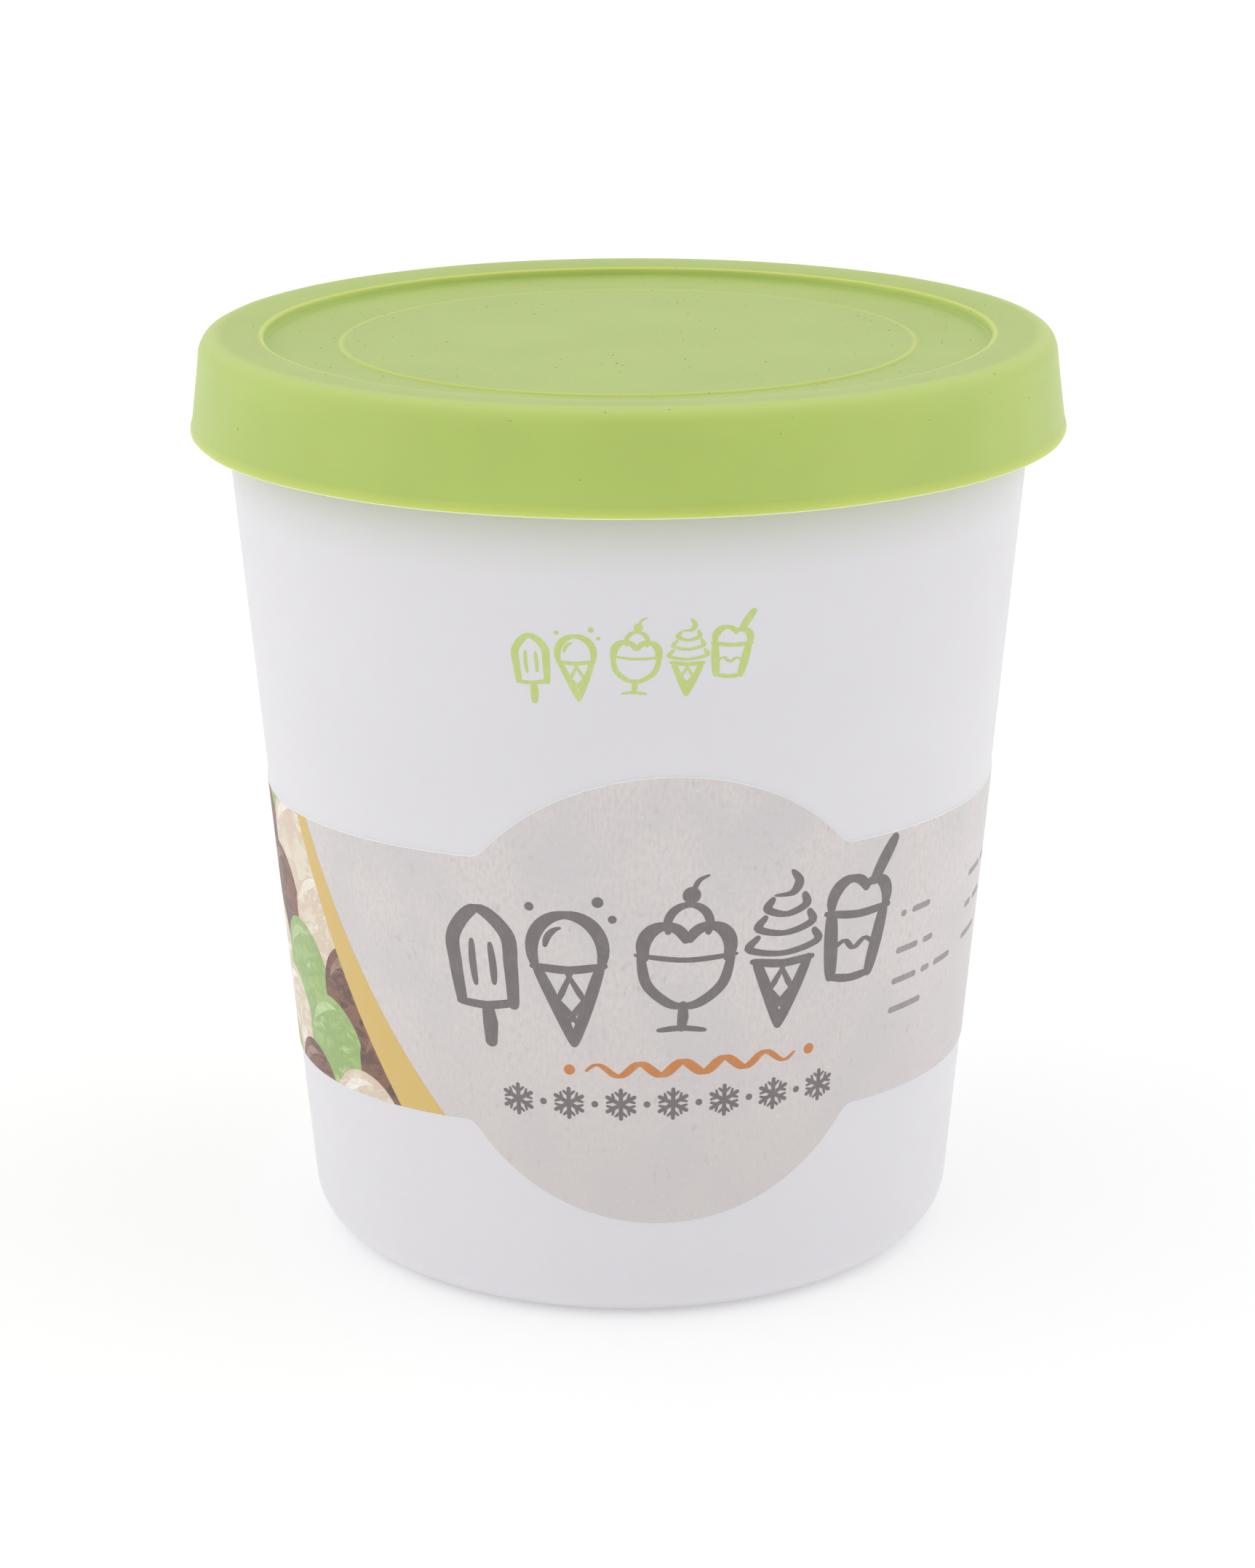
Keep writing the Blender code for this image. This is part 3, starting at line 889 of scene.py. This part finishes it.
def paper_cup():
    fields = stroke(through([(-4.6, 9.6), (-4.0, 5.0), (-3.4, 0.5)]), BRUSH, 0.7)
    fields += stroke(through([(4.7, 9.7), (4.1, 5.0), (3.4, 0.5)]), BRUSH, 0.7)
    fields += stroke(through([(-3.4, 0.3), (0.0, -0.1), (3.5, 0.4)]))
    fields += stroke(through([(-5.5, 9.9), (0.0, 9.4), (5.6, 10.1)]))
    fields += stroke(through([(-3.7, 4.4), (-1.8, 5.6), (0.0, 4.4), (1.9, 5.6), (3.8, 4.5)]), 1.1)
    fields += stroke(arc(-1.7, 11.3, 3.1, 3.5, 190, 35)) + stroke(arc(2.4, 11.2, 2.6, 3.0, 130, -15))
    return fields + stroke(through([(2.2, 14.2), (3.6, 17.2), (5.0, 19.8)]), 2.3, 0.75)


def leant(fields, x, y, turn=0.0, size=1.0):
    """Fields turned by some degrees, made larger or smaller, and moved."""
    cos, sin = size * math.cos(math.radians(turn)), size * math.sin(math.radians(turn))
    return [[(x + u * cos - v * sin, y + u * sin + v * cos) for u, v in field] for field in fields]


def treats(size=1.0):
    """The five treats in their row, from the row's middle."""
    row = []
    for treat, place, rise, turn in ((lolly, -25.6, -12.4, 4), (scooped_cone, -13.6, -12.0, 3),
                                     (sundae, 1.2, -10.2, -3), (soft_serve, 15.2, -10.6, -2),
                                     (paper_cup, 26.6, -5.6, -5)):
        row += leant(treat(), place, rise, turn)
    return leant(row, 0.0, 0.0, 0.0, size)


charcoal = ink_finish("ink_charcoal", "#7A7373", "#8B8484")
ROW_X = 5.8
ROW_Y = 55.6
inked("motif_row", drawn([("row", leant(treats(), ROW_X, ROW_Y))])["row"], charcoal)


# Wave
# A loose orange brush wave runs under the row of motifs, with a drop at either end of it.
WAVE_X = ROW_X + 3.0
WAVE_Y = 39.9
WAVE_HALF = 15.0
WAVE_H = 0.9
WAVE_LEAN = 1.5
DROP_OFF = WAVE_HALF + 2.4
DROP_R = 0.8
wave = [(WAVE_HALF * (k / 30 - 1), WAVE_H * math.sin(math.pi * k / 6)) for k in range(61)]
wave_fields = stroke(wave, 1.7, 0.3) + [dot(-DROP_OFF, 0.1, DROP_R), dot(DROP_OFF, 0.0, DROP_R)]
orange = ink_finish("ink_orange", "#CC854D", "#D39A6C")
inked("wave", drawn([("wave", leant(wave_fields, WAVE_X, WAVE_Y, WAVE_LEAN))])["wave"], orange)


# Snow crystals
# Under the wave stands a row of small snow crystals in the charcoal ink, with a dot between them.
CRYSTAL_R = 2.2
CRYSTAL_COUNT = 7
CRYSTAL_STEP = 7.4
CRYSTAL_X = -16.2
CRYSTAL_Y = 34.4


def crystal(radius, width=0.65):
    """A six-armed snow crystal, each arm with one pair of twigs."""
    fields = []
    for arm in range(6):
        along = stroke([(0.0, 0.0), (0.0, radius / 2), (0.0, radius)], width, 0.9)
        for side in (-1, 1):
            along += stroke([(0.0, 0.5 * radius), (side * 0.16 * radius, 0.65 * radius),
                             (side * 0.34 * radius, 0.82 * radius)], 0.8 * width, 0.8)
        fields += leant(along, 0.0, 0.0, 60 * arm)
    return fields


inked("snow_crystals", drawn([("crystal", leant(crystal(CRYSTAL_R), CRYSTAL_X, CRYSTAL_Y))])["crystal"],
      charcoal, count=CRYSTAL_COUNT, step=CRYSTAL_STEP * MM)
inked("snow_dots", drawn([("dot", [dot(CRYSTAL_X + CRYSTAL_STEP / 2, CRYSTAL_Y, 0.5)])])["dot"],
      charcoal, count=CRYSTAL_COUNT - 1, step=CRYSTAL_STEP * MM)


# Short bars
# At the label's right, where a pack carries its notes, stand blocks of short round-ended bars in
# thin grey ink. Each block is one small column, and its lines are of uneven length.
BAR_H = 0.95
BAR_GAP = 1.3


def bar(x, y, length):
    """A bar with round ends, from its left end."""
    radius = BAR_H / 2
    return [(x + length - radius + radius * math.sin(a), y - radius * math.cos(a)) for a in
            (math.pi * k / 8 for k in range(9))] + \
           [(x + radius - radius * math.sin(a), y + radius * math.cos(a)) for a in
            (math.pi * k / 8 for k in range(9))]


bars = []
for x, y, lengths in ((41.8, 57.2, (1.2, 4.4)), (41.4, 51.6, (5.0, 2.6)), (41.0, 47.0, (5.6, 2.2, 5.2)),
                      (40.8, 42.6, (7.6,)),
                      (62.0, 57.4, (6.4, 4.0)), (61.6, 52.6, (3.0, 5.0)), (61.4, 47.8, (7.4,)),
                      (84.0, 57.4, (5.2, 6.0)), (84.0, 52.6, (4.0, 2.2, 4.6)), (84.0, 47.8, (6.2, 3.0))):
    for length in lengths:
        bars.append(bar(x, y, length))
        x += length + BAR_GAP
pale_charcoal = ink_finish("ink_thin_grey", "#9C9595", "#AEA7A7", wear=0.7)
inked("note_bars", drawn([("bars", bars)])["bars"], pale_charcoal)


# Wall print
# The same five treats are printed at about half size straight on the tub's wall, above the label,
# in a lime ink. It sinks a little into the plastic, so its gloss is the wall's own.
WALL_PRINT_SIZE = 0.46
WALL_PRINT_Y = 99.5
WALL_INK_BACK = -0.01 * MM
WALL_INK_FACE = 0.012 * MM
lime_ink = ink_finish("ink_lime_on_plastic", "#C4D480", "#CFDC98", 0.38, 0.6)
inked("wall_print", drawn([("row", leant(treats(WALL_PRINT_SIZE), 0.0, WALL_PRINT_Y))])["row"],
      lime_ink, "tub", WALL_INK_BACK, WALL_INK_FACE)


# Studio
# A white sweep that glows a little, as on a light table, in a white tent. The tent is bright
# overhead, at the tub's sides and behind it, and dim towards the camera down to a white rim along
# the horizon, and one soft lamp stands high at the left.
FLOOR_R = 9.0
FLOOR_GLOW = 0.22
TENT_TOP = 0.98
TENT_SIDES = 1.28
TENT_BACK = 0.78
TENT_DIM = 0.02
TENT_RIM = 0.93
RIM_FULL = 0.1
RIM_END = 0.2
bpy.context.scene.view_settings.view_transform = "Standard"
world = bpy.data.worlds.new("white_tent")
bpy.context.scene.world = world
world.use_nodes = True
tree = world.node_tree
way = add_node(tree, "ShaderNodeSeparateXYZ",
               {0: add_node(tree, "ShaderNodeTexCoord").outputs["Generated"]}).outputs
behind = worked(tree, "MAXIMUM", way["Y"], 0.0)
strength = TENT_DIM
for toward, sharpness, share in ((way["Z"], 2, TENT_TOP), (way["X"], 2, TENT_SIDES),
                                 (behind, 4, TENT_BACK)):
    lobe = worked(tree, "POWER", toward, sharpness)
    strength = worked(tree, "MULTIPLY_ADD", lobe, share, strength)
horizon = between(tree, way["Z"], RIM_END, RIM_FULL, 0.0, TENT_RIM)
strength = worked(tree, "MAXIMUM", strength, horizon)
tree.links.new(strength, tree.nodes["Background"].inputs["Strength"])
tree.nodes["Background"].inputs["Color"].default_value = (1.0, 1.0, 1.0, 1.0)

floor_mesh = bpy.data.meshes.new("floor")
sheet = bmesh.new()
bmesh.ops.create_circle(sheet, cap_ends=True, segments=64, radius=FLOOR_R)
sheet.to_mesh(floor_mesh)
sheet.free()
floor = new_piece("floor", floor_mesh)
board, tree, into = new_finish("floor_matte_white", 0.9)
into["Base Color"].default_value = srgb("#F5F5F5")
into["Emission Color"].default_value = srgb("#FFFFFF")
into["Emission Strength"].default_value = FLOOR_GLOW
floor_mesh.materials.append(board)


def softbox(name, spot, size, power):
    """A square area light, aimed at the middle of the tub."""
    data = bpy.data.lights.new(name, "AREA")
    data.shape = "SQUARE"
    data.size = size
    data.energy = power
    lamp = bpy.data.objects.new(name, data)
    bpy.context.scene.collection.objects.link(lamp)
    lamp.location = spot
    aim = Vector((0.0, 0.0, LID_PLACE / 2)) - Vector(spot)
    lamp.rotation_euler = aim.to_track_quat("-Z", "Y").to_euler()


softbox("left_high", (-0.6, -1.05, 0.9), 0.9, 1.3)


# Camera
# A long lens a little above the tub, looking down on its lid, turned a touch about its own axis.
CAMERA_SPOT = Vector((-0.0003, -0.5306, 0.2299))
CAMERA_PITCH = math.radians(17.25)
CAMERA_ROLL = -0.0035
camera_data = bpy.data.cameras.new("camera")
camera_data.lens = 85.69
camera_data.sensor_width = 36.0
camera = bpy.data.objects.new("camera", camera_data)
bpy.context.scene.collection.objects.link(camera)
camera.matrix_world = (Matrix.Translation(CAMERA_SPOT)
                       @ Matrix.Rotation(math.pi / 2 - CAMERA_PITCH, 4, "X")
                       @ Matrix.Rotation(CAMERA_ROLL, 4, "Z"))
bpy.context.scene.camera = camera
